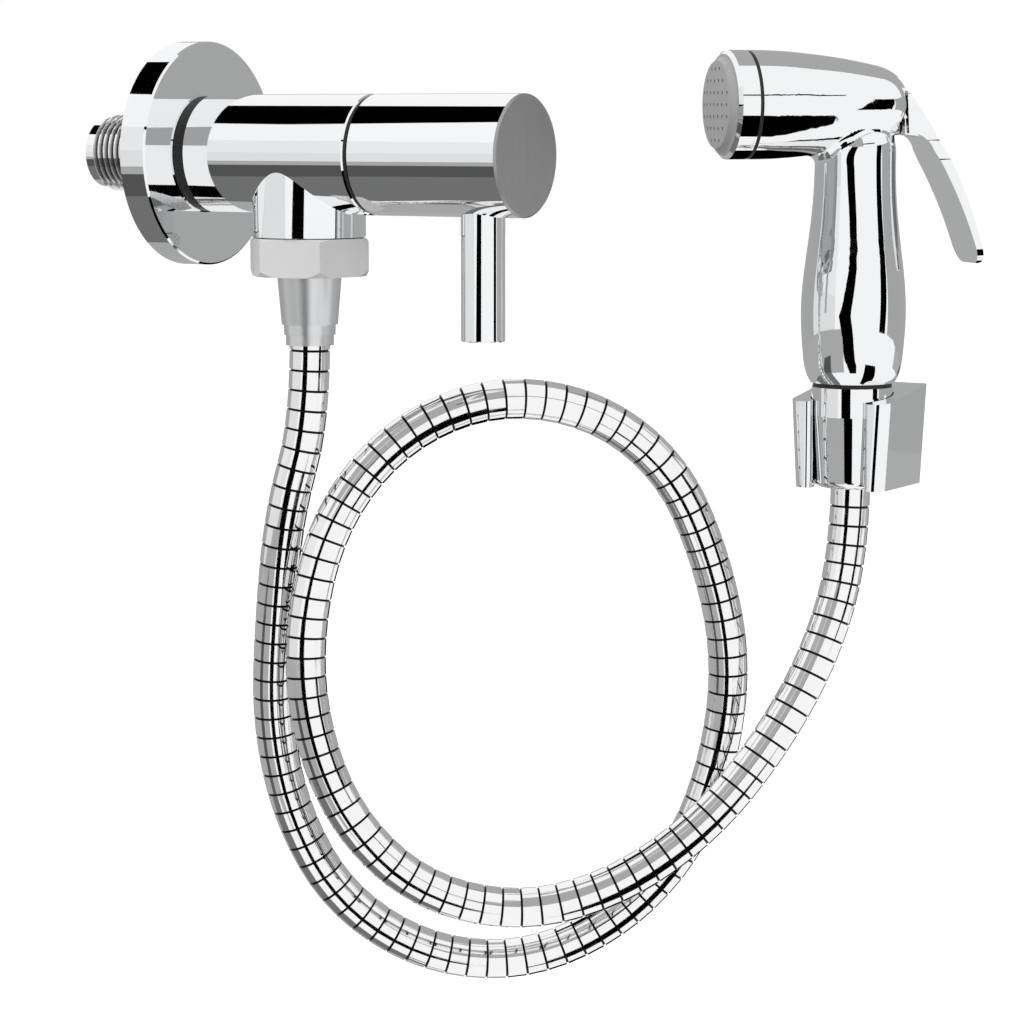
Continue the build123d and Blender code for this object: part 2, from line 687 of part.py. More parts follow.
def across_hose(distance):
    """Plane square to the hose at a distance along it, with a steady X axis."""
    place = distance / hose_length
    along = hose_path % place
    return Plane(hose_path @ place, x_dir=loop_facing - along * loop_facing.dot(along), z_dir=along)


rib_start = HOSE_DIAMETER
rib_pitch = (hose_length - 2 * rib_start) / RIB_COUNT
groove_radius = hose_radius - RIB_DEPTH
stations = [(0, groove_radius)]
for rib in range(RIB_COUNT):
    rib_place = rib_start + rib * rib_pitch
    stations.append((rib_place, groove_radius))
    stations.append((rib_place + RIB_SLOPE * rib_pitch, hose_radius))
    stations.append((rib_place + (1 - RIB_GROOVE - RIB_SLOPE) * rib_pitch, hose_radius))
    stations.append((rib_place + (1 - RIB_GROOVE) * rib_pitch, groove_radius))
stations.append((hose_length - rib_start, groove_radius))
stations.append((hose_length, groove_radius))

with BuildPart() as hose_armour:
    for distance, radius in stations:
        with BuildSketch(across_hose(distance)):
            Circle(radius)
    loft(ruled=True)
    with BuildSketch(across_hose(0)):
        Circle(HOSE_BORE_DIAMETER / 2)
    sweep(path=hose_path, mode=Mode.SUBTRACT)
save(hose_armour.part, "hose_armour")

with BuildPart() as hose_liner:
    with BuildSketch(across_hose(0)):
        Circle(LINER_DIAMETER / 2)
        Circle(LINER_BORE_DIAMETER / 2, mode=Mode.SUBTRACT)
    sweep(path=hose_path)
save(hose_liner.part, "hose_liner")
liner_section = pi * (LINER_DIAMETER ** 2 - LINER_BORE_DIAMETER ** 2) / 4
print(f"hose length {hose_length:.1f} mm, rib pitch {rib_pitch:.2f} mm")
print("arc radii", [round(radius) for radius in route_radii])
print(f"liner volume {hose_liner.part.volume:.1f}, section x length {liner_section * hose_length:.1f} mm3")
samples = [hose_path @ (step / 400) for step in range(401)]
apart = [
    (here - there).length
    for index, here in enumerate(samples)
    for there in samples[index + 25:]
]
print(f"least gap of the hose to itself {min(apart) - HOSE_DIAMETER:.1f} mm")

# Handset end of the hose: washer, barb, sleeve and cone nut
hand = (HAND_X, HAND_Y)
cone_washer = washer(hand, spigot_bottom, spigot_radius - FIT_GAP)
save(cone_washer.part, "cone_washer")

sleeve_neck_bottom = hose_end + BARB_NECK_CLEAR
handset_barb = barb(hand, cone_washer_bottom, spigot_radius - FIT_GAP, sleeve_neck_bottom)
save(handset_barb.part, "handset_end_barb")

with BuildPart() as sleeve:
    with BuildSketch(hand_profile):
        with BuildLine():
            Polyline(
                (BARB_NECK_DIAMETER / 2 + FIT_GAP, sleeve_top),
                (SLEEVE_DIAMETER / 2, sleeve_top),
                (SLEEVE_DIAMETER / 2, sleeve_mouth),
                (hose_radius + FREE_GAP, sleeve_mouth),
                (hose_radius + FREE_GAP, hose_end + FREE_GAP),
                (BARB_DIAMETER / 2 + FIT_GAP, hose_end + FREE_GAP),
                (BARB_DIAMETER / 2 + FIT_GAP, sleeve_neck_bottom),
                (BARB_NECK_DIAMETER / 2 + FIT_GAP, sleeve_neck_bottom),
                close=True,
            )
        make_face()
    revolve(axis=hand_axis)
save(sleeve.part, "handset_end_ferrule")

with BuildPart() as cone_nut:
    with BuildSketch(hand_profile):
        with BuildLine():
            Polyline(
                (cone_bore_radius, cone_top),
                (cone_top_radius, cone_top),
                (cone_top_radius, cone_top - CONE_SHOULDER),
                (cone_bottom_radius, cone_bottom + CONE_ROUND),
            )
            RadiusArc(
                (cone_bottom_radius, cone_bottom + CONE_ROUND),
                (cone_bottom_radius - CONE_ROUND, cone_bottom),
                CONE_ROUND,
            )
            Polyline(
                (cone_bottom_radius - CONE_ROUND, cone_bottom),
                (SLEEVE_DIAMETER / 2 + RUNNING_GAP, cone_bottom),
                (SLEEVE_DIAMETER / 2 + RUNNING_GAP, sleeve_flange_bottom),
                (cone_bore_radius, sleeve_flange_bottom),
                (cone_bore_radius, cone_top),
            )
        make_face()
    revolve(axis=hand_axis)
save(cone_nut.part, "cone_nut")

with BuildPart() as collar_seal:
    with BuildSketch(Plane(origin=(HAND_X, HAND_Y, cone_top))):
        Circle(cone_top_radius - COLLAR_SEAL_INSET)
        Circle(spigot_radius + FIT_GAP, mode=Mode.SUBTRACT)
    extrude(amount=COLLAR_SEAL_WIDTH)
save(collar_seal.part, "collar_seal")

# Handset body: handle and head in one shell, with its water way
ring_back = RING_FRONT + RING_WIDTH
head_front = ring_back + NOZZLE_SEAL_WIDTH
ring_radius = RING_DIAMETER / 2
nose_radius = ring_radius - RING_WALL
nose_front_place = RING_FRONT + FACE_THICKNESS + RING_WALL
cavity_radius = nose_radius - RING_WALL
cavity_back = nose_front_place + CAVITY_DEPTH
head_axis = Axis(hand_point(0, 0, HEAD_HEIGHT), s_dir)
seat_back = SEAT_PLACE + SEAT_WIDTH / 2
seat_front = SEAT_PLACE - SEAT_WIDTH / 2
stem_radius = STEM_DIAMETER / 2
gland_length = SLOT_FRONT - GLAND_FRONT
hub_radius = HINGE_S - SLOT_FRONT - FREE_GAP
slot_top = HINGE_Z + hub_radius + FREE_GAP

with BuildPart() as handset_body:
    with BuildSketch(hand_profile):
        with BuildLine():
            Line((0, HANDLE_BOTTOM), (HANDLE_FOOT_RADIUS, HANDLE_BOTTOM))
            Spline((HANDLE_FOOT_RADIUS, HANDLE_BOTTOM), *HANDLE_OUTLINE)
            handle_end = HANDLE_OUTLINE[-1]
            Polyline(handle_end, (0, handle_end[1]), (0, HANDLE_BOTTOM))
        make_face()
    revolve(axis=hand_axis)
    with BuildSketch(hand_profile):
        with BuildLine():
            Polyline(
                (head_front, HEAD_HEIGHT),
                (head_front, HEAD_HEIGHT + ring_radius),
            )
            Spline(
                (head_front, HEAD_HEIGHT + ring_radius),
                *((place, HEAD_HEIGHT + ring_radius - inset) for place, inset in HEAD_OUTLINE),
                (HEAD_BACK, HEAD_HEIGHT),
                tangents=((1, 0), (0, -1)),
            )
            Line((HEAD_BACK, HEAD_HEIGHT), (head_front, HEAD_HEIGHT))
        make_face()
    revolve(axis=head_axis)
    waist = handset_body.edges().filter_by(GeomType.BSPLINE).filter_by(
        lambda edge: abs(edge.center().Z - HEAD_HEIGHT + ring_radius) < ring_radius / 2
    )
    fillet(waist, HEAD_FILLET)
    with BuildSketch(across_head(head_front, HEAD_HEIGHT)):
        Circle(nose_radius)
    extrude(amount=nose_front_place - head_front)
    with BuildSketch(Plane(origin=(HAND_X, HAND_Y, HANDLE_BOTTOM))):
        Circle(spigot_radius)
    extrude(amount=spigot_bottom - HANDLE_BOTTOM)
    with BuildSketch(across_head(nose_front_place, HEAD_HEIGHT)):
        Circle(cavity_radius)
    extrude(amount=CAVITY_DEPTH, mode=Mode.SUBTRACT)
    with BuildSketch(across_head(cavity_back, STEM_HEIGHT)):
        Circle(VALVE_BORE_DIAMETER / 2)
    extrude(amount=seat_front - cavity_back, mode=Mode.SUBTRACT)
    with BuildSketch(across_head(seat_front, STEM_HEIGHT)):
        Circle(SEAT_DIAMETER / 2)
    extrude(amount=SEAT_WIDTH, mode=Mode.SUBTRACT)
    with BuildSketch(across_head(seat_back, STEM_HEIGHT)):
        Circle(VALVE_BORE_DIAMETER / 2)
    extrude(amount=GLAND_FRONT - seat_back, mode=Mode.SUBTRACT)
    with BuildSketch(across_head(GLAND_FRONT, STEM_HEIGHT)):
        Circle(GLAND_DIAMETER / 2 + FIT_GAP)
    extrude(amount=gland_length, mode=Mode.SUBTRACT)
    with BuildSketch(Plane(origin=(HAND_X, HAND_Y, spigot_bottom))):
        Circle(HANDLE_BORE_DIAMETER / 2)
    extrude(amount=HANDLE_BORE_TOP - spigot_bottom, mode=Mode.SUBTRACT)
    with BuildSketch(Plane(origin=hand_point(FEED_HOLE_PLACE, 0, HANDLE_BORE_TOP))):
        Circle(FEED_HOLE_DIAMETER / 2)
    extrude(amount=STEM_HEIGHT - HANDLE_BORE_TOP, mode=Mode.SUBTRACT)
    with BuildSketch(hand_profile):
        with Locations((SLOT_FRONT, SLOT_FLOOR)):
            Rectangle(RING_DIAMETER, slot_top - SLOT_FLOOR, align=(Align.MIN, Align.MIN))
    extrude(amount=TRIGGER_ROOT_WIDTH / 2 + FREE_GAP, both=True, mode=Mode.SUBTRACT)
    with BuildSketch(hand_profile):
        with Locations((WINDOW_FRONT, SLOT_FLOOR)):
            Rectangle(RING_DIAMETER, WINDOW_TOP - SLOT_FLOOR, align=(Align.MIN, Align.MIN))
    extrude(amount=TRIGGER_NECK_WIDTH / 2 + FREE_GAP, both=True, mode=Mode.SUBTRACT)
    with BuildSketch(hand_profile.offset(-RING_DIAMETER / 2)):
        with Locations((HINGE_S, HINGE_Z)):
            Circle(TRIGGER_PIN_DIAMETER / 2 + FIT_GAP)
    extrude(amount=RING_DIAMETER / 2 + PIN_NEAR_END + FIT_GAP, mode=Mode.SUBTRACT)
save(handset_body.part, "handset_body")

# Spray face, the ring that holds it and the seal behind the ring
face_radius = ring_radius - FACE_RIM
with BuildPart() as nozzle_ring:
    with BuildSketch(hand_profile):
        with BuildLine():
            Polyline(
                (ring_back, HEAD_HEIGHT + nose_radius + FIT_GAP),
                (ring_back, HEAD_HEIGHT + ring_radius),
                (RING_FRONT + RING_BEVEL, HEAD_HEIGHT + ring_radius),
                (RING_FRONT, HEAD_HEIGHT + face_radius + FIT_GAP),
                (RING_FRONT + FACE_THICKNESS, HEAD_HEIGHT + face_radius + FIT_GAP),
                (RING_FRONT + FACE_THICKNESS, HEAD_HEIGHT + cavity_radius),
                (nose_front_place - FIT_GAP, HEAD_HEIGHT + cavity_radius),
                (nose_front_place - FIT_GAP, HEAD_HEIGHT + nose_radius + FIT_GAP),
                close=True,
            )
        make_face()
    revolve(axis=head_axis)
save(nozzle_ring.part, "nozzle_ring")

with BuildPart() as nozzle_seal:
    with BuildSketch(across_head(ring_back, HEAD_HEIGHT)):
        Circle(ring_radius - FREE_GAP)
        Circle(nose_radius + FIT_GAP, mode=Mode.SUBTRACT)
    extrude(amount=NOZZLE_SEAL_WIDTH)
save(nozzle_seal.part, "nozzle_seal")

face_front = RING_FRONT - FACE_PROUD
with BuildPart() as spray_face:
    with BuildSketch(hand_profile):
        with BuildLine():
            Polyline(
                (face_front - FACE_CROWN, HEAD_HEIGHT),
                (RING_FRONT + FACE_THICKNESS, HEAD_HEIGHT),
                (RING_FRONT + FACE_THICKNESS, HEAD_HEIGHT + face_radius),
                (face_front + FACE_ROUND, HEAD_HEIGHT + face_radius),
            )
            RadiusArc(
                (face_front + FACE_ROUND, HEAD_HEIGHT + face_radius),
                (face_front, HEAD_HEIGHT + face_radius - FACE_ROUND),
                FACE_ROUND,
            )
            ThreePointArc(
                (face_front, HEAD_HEIGHT + face_radius - FACE_ROUND),
                (face_front - FACE_CROWN * 0.75, HEAD_HEIGHT + (face_radius - FACE_ROUND) / 2),
                (face_front - FACE_CROWN, HEAD_HEIGHT),
            )
        make_face()
    revolve(axis=head_axis)
    with BuildSketch(across_head(face_front - FACE_CROWN, HEAD_HEIGHT)):
        with GridLocations(SPRAY_HOLE_PITCH, SPRAY_HOLE_PITCH, SPRAY_HOLE_ROWS, SPRAY_HOLE_ROWS) as grid:
            near = [spot for spot in grid.local_locations if spot.position.length < SPRAY_HOLE_REACH]
        with Locations(*near):
            Circle(SPRAY_HOLE_DIAMETER / 2)
    extrude(amount=FACE_CROWN + FACE_PROUD + FACE_THICKNESS, mode=Mode.SUBTRACT)
save(spray_face.part, "spray_face")

# Handset valve: plunger, its seal, the gland and its ring, the spring and its retainer
plunger_seal_back = seat_front - FREE_GAP
plunger_flange_back = plunger_seal_back - PLUNGER_SEAL_THICKNESS
plunger_front = plunger_flange_back - PLUNGER_FLANGE_THICKNESS
with BuildPart() as plunger:
    with BuildSketch(across_head(plunger_front, STEM_HEIGHT)):
        Circle(PLUNGER_FLANGE_DIAMETER / 2)
    extrude(amount=PLUNGER_FLANGE_THICKNESS)
    with BuildSketch(across_head(plunger_front, STEM_HEIGHT)):
        Circle(stem_radius)
    extrude(amount=PUSH_FACE - SEAM_GAP - plunger_front)
    fillet(plunger.edges().filter_by(GeomType.CIRCLE).sort_by(Axis(hand_point(0, 0, 0), s_dir))[-1],
           stem_radius / 4)
save(plunger.part, "plunger")

with BuildPart() as plunger_seal:
    with BuildSketch(across_head(plunger_flange_back, STEM_HEIGHT)):
        Circle(VALVE_BORE_DIAMETER / 2 - 2 * FREE_GAP)
        Circle(stem_radius + FIT_GAP, mode=Mode.SUBTRACT)
    extrude(amount=PLUNGER_SEAL_THICKNESS)
save(plunger_seal.part, "plunger_seal")

stem_seal_front = (GLAND_FRONT + SLOT_FRONT - RING_SEAL_WIDTH) / 2
with BuildPart() as stem_gland:
    with BuildSketch(across_head(GLAND_FRONT, STEM_HEIGHT)):
        Circle(GLAND_DIAMETER / 2)
        Circle(stem_radius + RUNNING_GAP, mode=Mode.SUBTRACT)
    extrude(amount=gland_length)
    with BuildSketch(across_head(stem_seal_front - FIT_GAP, STEM_HEIGHT)):
        Circle(stem_radius + RING_SEAL_WALL)
    extrude(amount=RING_SEAL_WIDTH + 2 * FIT_GAP, mode=Mode.SUBTRACT)
save(stem_gland.part, "stem_gland")

with BuildPart() as stem_seal:
    with BuildSketch(across_head(stem_seal_front, STEM_HEIGHT)):
        Circle(stem_radius + RING_SEAL_WALL - FIT_GAP)
        Circle(stem_radius + RUNNING_GAP, mode=Mode.SUBTRACT)
    extrude(amount=RING_SEAL_WIDTH)
    fillet(stem_seal.edges().filter_by(GeomType.CIRCLE), RING_SEAL_WALL / 4)
save(stem_seal.part, "stem_o_ring")

retainer_back = cavity_back + RETAINER_THICKNESS
with BuildPart() as spring_retainer:
    with BuildSketch(across_head(cavity_back, STEM_HEIGHT)):
        Circle(VALVE_BORE_DIAMETER / 2 - FIT_GAP)
        Circle(SPRING_DIAMETER / 2 - SPRING_WIRE_DIAMETER - FREE_GAP, mode=Mode.SUBTRACT)
    extrude(amount=RETAINER_THICKNESS)
save(spring_retainer.part, "spring_retainer")

spring_length = plunger_front - retainer_back - SPRING_WIRE_DIAMETER - 2 * FIT_GAP
coil_radius = (SPRING_DIAMETER - SPRING_WIRE_DIAMETER) / 2
spring_start = hand_point(retainer_back + SPRING_WIRE_DIAMETER / 2 + FIT_GAP, 0, STEM_HEIGHT)
with BuildPart() as return_spring:
    with BuildLine():
        coil = Helix(
            pitch=spring_length / SPRING_TURNS,
            height=spring_length,
            radius=coil_radius,
            center=spring_start,
            direction=s_dir,
        )
    with BuildSketch(Plane(origin=coil @ 0, z_dir=coil % 0)):
        Circle(SPRING_WIRE_DIAMETER / 2)
    sweep(path=coil, is_frenet=True)
save(return_spring.part, "return_spring")

# Trigger lever and its hinge pin
with BuildPart() as trigger:
    with BuildSketch(hand_profile):
        with BuildLine():
            Polyline(*LEVER_FOOT)
            ThreePointArc(*LEVER_FRONT)
            ThreePointArc(*LEVER_TIP)
            ThreePointArc(*LEVER_BACK)
            ThreePointArc(*LEVER_HEEL)
        make_face()
    extrude(amount=TRIGGER_WIDTH / 2, both=True)
    with BuildSketch(across_head(0, 0)):
        paddle = Polygon(
            (HINGE_Z + hub_radius, -TRIGGER_NECK_WIDTH / 2),
            (NECK_BOTTOM, -TRIGGER_NECK_WIDTH / 2),
            (FLARE_BOTTOM, -TRIGGER_WIDTH / 2),
            (TRIGGER_BOTTOM, -TRIGGER_WIDTH / 2),
            (TRIGGER_BOTTOM, TRIGGER_WIDTH / 2),
            (FLARE_BOTTOM, TRIGGER_WIDTH / 2),
            (NECK_BOTTOM, TRIGGER_NECK_WIDTH / 2),
            (HINGE_Z + hub_radius, TRIGGER_NECK_WIDTH / 2),
            align=None,
        )
        fillet(paddle.vertices().group_by(Axis.Z)[0], TRIGGER_CORNER)
    extrude(amount=2 * RING_DIAMETER, mode=Mode.INTERSECT)
    with BuildSketch(hand_profile):
        with BuildLine():
            Polyline(
                (HINGE_S, HINGE_Z + hub_radius),
                *ARM_TOP,
                (PUSH_FACE, PUSH_BOTTOM),
                (PUSH_FACE, PUSH_TOP),
                (HINGE_S, HINGE_Z - hub_radius),
                close=True,
            )
        make_face()
        with Locations((HINGE_S, HINGE_Z)):
            Circle(hub_radius)
    extrude(amount=TRIGGER_ROOT_WIDTH / 2, both=True)
    with BuildSketch(hand_profile):
        with Locations((HINGE_S, HINGE_Z)):
            Circle(TRIGGER_PIN_DIAMETER / 2 + RUNNING_GAP)
    extrude(amount=TRIGGER_WIDTH, both=True, mode=Mode.SUBTRACT)
save(trigger.part, "trigger_lever")

with BuildPart() as trigger_pin:
    with BuildSketch(hand_profile.offset(-PIN_FAR_END)):
        with Locations((HINGE_S, HINGE_Z)):
            Circle(TRIGGER_PIN_DIAMETER / 2)
    extrude(amount=PIN_FAR_END + PIN_NEAR_END)
save(trigger_pin.part, "trigger_pin")

# Wall holder: a block with a conical socket, open in front for the hose
sink_depth = (SCREW_HEAD_DIAMETER - SCREW_HOLE_DIAMETER) / 2
with BuildPart() as holder:
    with BuildSketch(Plane(origin=(HAND_X, holder_back, 0), x_dir=(1, 0, 0), z_dir=(0, -1, 0))):
        Polygon(
            (-holder_half_width, HOLDER_TOP),
            (-foot_half_width, holder_bottom),
            (foot_half_width, holder_bottom),
            (holder_half_width, HOLDER_TOP),
            align=None,
        )
    extrude(amount=holder_back - holder_front)
    uprights = holder.edges().filter_by(
        lambda edge: edge.bounding_box().size.Z > HOLDER_HEIGHT / 2
    ).group_by(Axis.Y)
    fillet(uprights[0], HOLDER_CORNER)
    fillet(uprights[-1], HOLDER_BACK_CORNER)
    with BuildSketch(hand_profile):
        with BuildLine():
            Polyline(
                (0, HOLDER_TOP + FREE_GAP),
                (socket_top, HOLDER_TOP + FREE_GAP),
                (socket_top, cone_top - CONE_SHOULDER),
                (socket_bottom, holder_bottom - FREE_GAP),
                (0, holder_bottom - FREE_GAP),
                close=True,
            )
        make_face()
    revolve(axis=hand_axis, mode=Mode.SUBTRACT)
    with BuildSketch(Plane(origin=(HAND_X, HAND_Y, holder_bottom))):
        Rectangle(2 * slot_half_width, HAND_Y, align=(Align.CENTER, Align.MAX))
    extrude(amount=HOLDER_HEIGHT, mode=Mode.SUBTRACT)
    lips = holder.edges().filter_by(Axis.Z).filter_by(
        lambda edge: abs(edge.center().X - HAND_X) < slot_half_width + FIT_GAP
    ).sort_by(Axis.Y)[:2]
    fillet(lips, HOLDER_LIP)
    with BuildSketch(Plane.YZ.offset(HAND_X)):
        with BuildLine():
            Polyline(
                (holder_back, HOLDER_TOP),
                (holder_front, HOLDER_TOP - HOLDER_TOP_FALL),
                (holder_front, HOLDER_TOP),
                close=True,
            )
        make_face()
    extrude(amount=2 * holder_half_width, both=True, mode=Mode.SUBTRACT)
    for rise in (-SCREW_SPACING / 2, SCREW_SPACING / 2):
        screw_height = HOLDER_TOP - HOLDER_HEIGHT / 2 + rise
        with BuildSketch(Plane.YZ.offset(HAND_X)):
            with BuildLine():
                Polyline(
                    (HAND_Y, screw_height),
                    (HAND_Y, screw_height + SCREW_HEAD_DIAMETER / 2),
                    (HAND_Y + socket_top, screw_height + SCREW_HEAD_DIAMETER / 2),
                    (HAND_Y + socket_top + sink_depth, screw_height + SCREW_HOLE_DIAMETER / 2),
                    (holder_back, screw_height + SCREW_HOLE_DIAMETER / 2),
                    (holder_back, screw_height),
                    close=True,
                )
            make_face()
        revolve(axis=Axis((HAND_X, HAND_Y, screw_height), (0, 1, 0)), mode=Mode.SUBTRACT)
save(holder.part, "holder")
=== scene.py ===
"""Bidet shower kit: finishes, ribbed hose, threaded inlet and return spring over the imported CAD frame."""
import json
from math import cos, pi, radians, sin

import bmesh
import bpy
from mathutils import Matrix, Vector

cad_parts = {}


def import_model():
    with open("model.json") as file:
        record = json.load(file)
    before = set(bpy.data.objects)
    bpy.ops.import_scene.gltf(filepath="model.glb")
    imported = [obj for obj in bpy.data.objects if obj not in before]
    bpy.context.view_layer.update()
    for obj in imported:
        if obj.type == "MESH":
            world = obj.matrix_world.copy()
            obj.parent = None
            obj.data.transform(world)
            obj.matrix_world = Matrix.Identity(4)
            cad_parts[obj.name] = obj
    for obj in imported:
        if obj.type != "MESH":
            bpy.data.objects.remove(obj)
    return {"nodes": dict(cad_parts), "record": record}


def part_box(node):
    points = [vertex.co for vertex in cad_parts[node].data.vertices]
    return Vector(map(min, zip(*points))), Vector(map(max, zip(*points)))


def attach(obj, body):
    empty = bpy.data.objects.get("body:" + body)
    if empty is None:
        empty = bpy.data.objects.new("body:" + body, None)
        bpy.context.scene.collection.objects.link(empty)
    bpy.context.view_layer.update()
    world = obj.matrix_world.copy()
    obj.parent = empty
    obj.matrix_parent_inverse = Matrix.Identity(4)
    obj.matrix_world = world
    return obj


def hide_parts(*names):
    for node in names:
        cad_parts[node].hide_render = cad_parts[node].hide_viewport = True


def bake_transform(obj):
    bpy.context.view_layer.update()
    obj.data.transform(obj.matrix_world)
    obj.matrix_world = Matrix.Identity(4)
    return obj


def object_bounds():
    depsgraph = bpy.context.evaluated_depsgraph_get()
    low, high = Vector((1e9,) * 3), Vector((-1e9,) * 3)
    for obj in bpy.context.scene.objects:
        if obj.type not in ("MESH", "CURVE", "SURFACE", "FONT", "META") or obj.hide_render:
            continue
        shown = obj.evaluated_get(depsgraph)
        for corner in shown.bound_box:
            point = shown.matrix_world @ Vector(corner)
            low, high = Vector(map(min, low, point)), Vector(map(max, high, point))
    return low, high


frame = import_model()
cad_low, cad_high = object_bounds()
scene = bpy.context.scene
MM = 0.001

# The photograph's camera, and directions along its right side and towards it
VIEW_AZIMUTH = radians(30.44)
CAMERA_PLACE = Vector((0.51118, -0.69405, 0.01035))
CAMERA_TARGET = Vector((0.08402, 0.03286, -0.09751))
CAMERA_LENS = 109.0
CAMERA_NEAREST = 0.05
CAMERA_FARTHEST = 20
RIGHT = Vector((cos(VIEW_AZIMUTH), sin(VIEW_AZIMUTH), 0))
NEAR = Vector((sin(VIEW_AZIMUTH), -cos(VIEW_AZIMUTH), 0))
UP = Vector((0, 0, 1))

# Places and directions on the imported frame
INLET_END = Vector(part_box("valve_body")[0]).x
KNOB_FACE = Vector(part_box("knob")[1]).x


def add(name, data):
    """Puts a new object with this data into the scene."""
    thing = bpy.data.objects.new(name, data)
    scene.collection.objects.link(thing)
    return thing


def aim(thing, place):
    thing.location = place
    thing.rotation_mode = "QUATERNION"
    thing.rotation_quaternion = (CAMERA_TARGET - Vector(place)).to_track_quat("-Z", "Y")


def camera():
    """Camera at the photograph's viewing angle."""
    data = bpy.data.cameras.new("camera")
    data.lens = CAMERA_LENS
    data.clip_start = CAMERA_NEAREST
    data.clip_end = CAMERA_FARTHEST
    eye = add("camera", data)
    aim(eye, CAMERA_PLACE)
    scene.camera = eye


camera()


# Shader maths
class Flow:
    """A node's output, which adds Math nodes when it is used in an expression."""

    def __init__(self, tree, socket):
        self.tree = tree
        self.socket = socket

    def math(self, operation, other):
        node = self.tree.nodes.new("ShaderNodeMath")
        node.operation = operation
        for socket, value in zip(node.inputs, (self, other)):
            connect(self.tree, socket, value)
        return Flow(self.tree, node.outputs[0])

    def __add__(self, other):
        return self.math("ADD", other)

    __radd__ = __add__

    def __mul__(self, other):
        return self.math("MULTIPLY", other)

    __rmul__ = __mul__

    def __gt__(self, other):
        return self.math("GREATER_THAN", other)

    def __lt__(self, other):
        return self.math("LESS_THAN", other)


def connect(tree, socket, value):
    """Links a Flow to a socket, or sets the socket's own value."""
    if isinstance(value, Flow):
        tree.links.new(value.socket, socket)
    else:
        socket.default_value = value


def grey(value, warmth=0.0):
    """A colour of one lightness, slightly warm or cool."""
    return (value * (1 + warmth), value, value * (1 - warmth), 1)


# Sockets that are found by number, because the Mix node gives one name to several
MIX_FACTOR = 0
MIX_FIRST_COLOUR = 6
MIX_SECOND_COLOUR = 7
MIX_COLOUR = 2
ATTRIBUTE_FACTOR = 2


class Nodes:
    """A node tree that nodes are added to."""

    def __init__(self, tree):
        self.tree = tree

    def node(self, kind, settings=None, output=0, sockets=None, **values):
        """One node: its settings first, then its sockets by number or name, and one of its outputs."""
        made = self.tree.nodes.new(kind)
        for name, value in (settings or {}).items():
            setattr(made, name, value)
        for number, value in (sockets or {}).items():
            connect(self.tree, made.inputs[number], value)
        for name, value in values.items():
            connect(self.tree, made.inputs[name.replace("_", " ")], value)
        return Flow(self.tree, made.outputs[output])


class Finish(Nodes):
    """A node material with one Principled shader."""

    def __init__(self, name, **values):
        self.material = bpy.data.materials.new(name)
        self.material.use_nodes = True
        super().__init__(self.material.node_tree)
        self.shader = self.tree.nodes["Principled BSDF"]
        for socket, value in values.items():
            self.set(socket, value)

    def set(self, socket, value):
        connect(self.tree, self.shader.inputs[socket.replace("_", " ")], value)

    def spot(self):
        return self.node("ShaderNodeTexCoord", output="Object")

    def noise(self, scale, detail, stretch=(1, 1, 1), turn=(0, 0, 0)):
        """Noise of some waves a metre, after its space is stretched and turned."""
        place = self.node("ShaderNodeMapping", Vector=self.spot(), Scale=stretch, Rotation=turn)
        return self.node("ShaderNodeTexNoise", Vector=place, Scale=scale, Detail=detail)

    def ramp(self, value, low, high, start=0.0, end=1.0):
        """The value's range from low to high, mapped to start and end, and held there."""
        ends = {"From_Min": low, "From_Max": high, "To_Min": start, "To_Max": end}
        return self.node("ShaderNodeMapRange", Value=value, **ends)

    def blend(self, factor, first, second):
        """Colour between two colours."""
        sockets = {MIX_FACTOR: factor, MIX_FIRST_COLOUR: first, MIX_SECOND_COLOUR: second}
        return self.node("ShaderNodeMix", {"data_type": "RGBA"}, output=MIX_COLOUR, sockets=sockets)

    def bump(self, height, strength, distance):
        relief = self.node("ShaderNodeBump", Height=height, Strength=strength, Distance=distance)
        self.set("Normal", relief)


# Finishes: waves of noise a metre, the ranges of it that show, and the tones and roughness that they give
PLATE_TONE = 0.92
PLATE_WARMTH = -0.01
PLATE_ROUGHNESS = 0.015
PLATE_SMEAR = 0.03        # how much rougher the haze and the water marks are
PLATE_GRAIN_WAVES = 900
HAZE_WAVES = 55
HAZE_RANGE = (0.3, 0.8)
HAZE_SHADE = 0.97
WATER_MARK_WAVES = 260
WATER_MARK_RANGE = (0.66, 0.74)
SATIN_TONES = (0.40, 0.46)
SATIN_ROUGHNESS = 0.4
STREAK_WAVES = 60
STREAK_STRETCH = (1, 9, 1)
STREAK_TURN = (radians(40), 0, 0)
MOTTLE_WAVES = 70
MOTTLE_SHADES = (0.93, 1.05)
GRAIN_RANGE = (0.3, 0.7)
TOOL_MARK_WAVES = 900
TOOL_MARK_SHADE = 0.85
WEAR_WAVES = 420
WEAR_RANGE = (0.35, 0.75)
WEAR_TONES = (0.88, 0.94)
WEAR_ROUGHNESS = (0.05, 0.12)
JOINT_ROUGHNESS = 0.3


def polish(finish, roughness, smear):
    """Haze of polished plate, and the roughness that it gives."""
    haze = finish.noise(HAZE_WAVES, 4)
    return haze, finish.ramp(haze, *HAZE_RANGE, roughness, roughness + smear)


def plated(name, tone=PLATE_TONE, roughness=PLATE_ROUGHNESS, smear=PLATE_SMEAR):
    """Polished plate: a clear mirror with faint polishing haze and a few water marks."""
    finish = Finish(name, Metallic=1.0)
    haze, hazy = polish(finish, roughness, smear)
    marks = finish.ramp(finish.noise(WATER_MARK_WAVES, 2), *WATER_MARK_RANGE)
    finish.set("Roughness", hazy + marks * smear)
    clear = grey(tone, PLATE_WARMTH)
    finish.set("Base_Color", finish.blend(haze, clear, grey(tone * HAZE_SHADE, PLATE_WARMTH)))
    finish.bump(finish.noise(PLATE_GRAIN_WAVES, 2), 0.015, 0.05 * MM)
    return finish.material


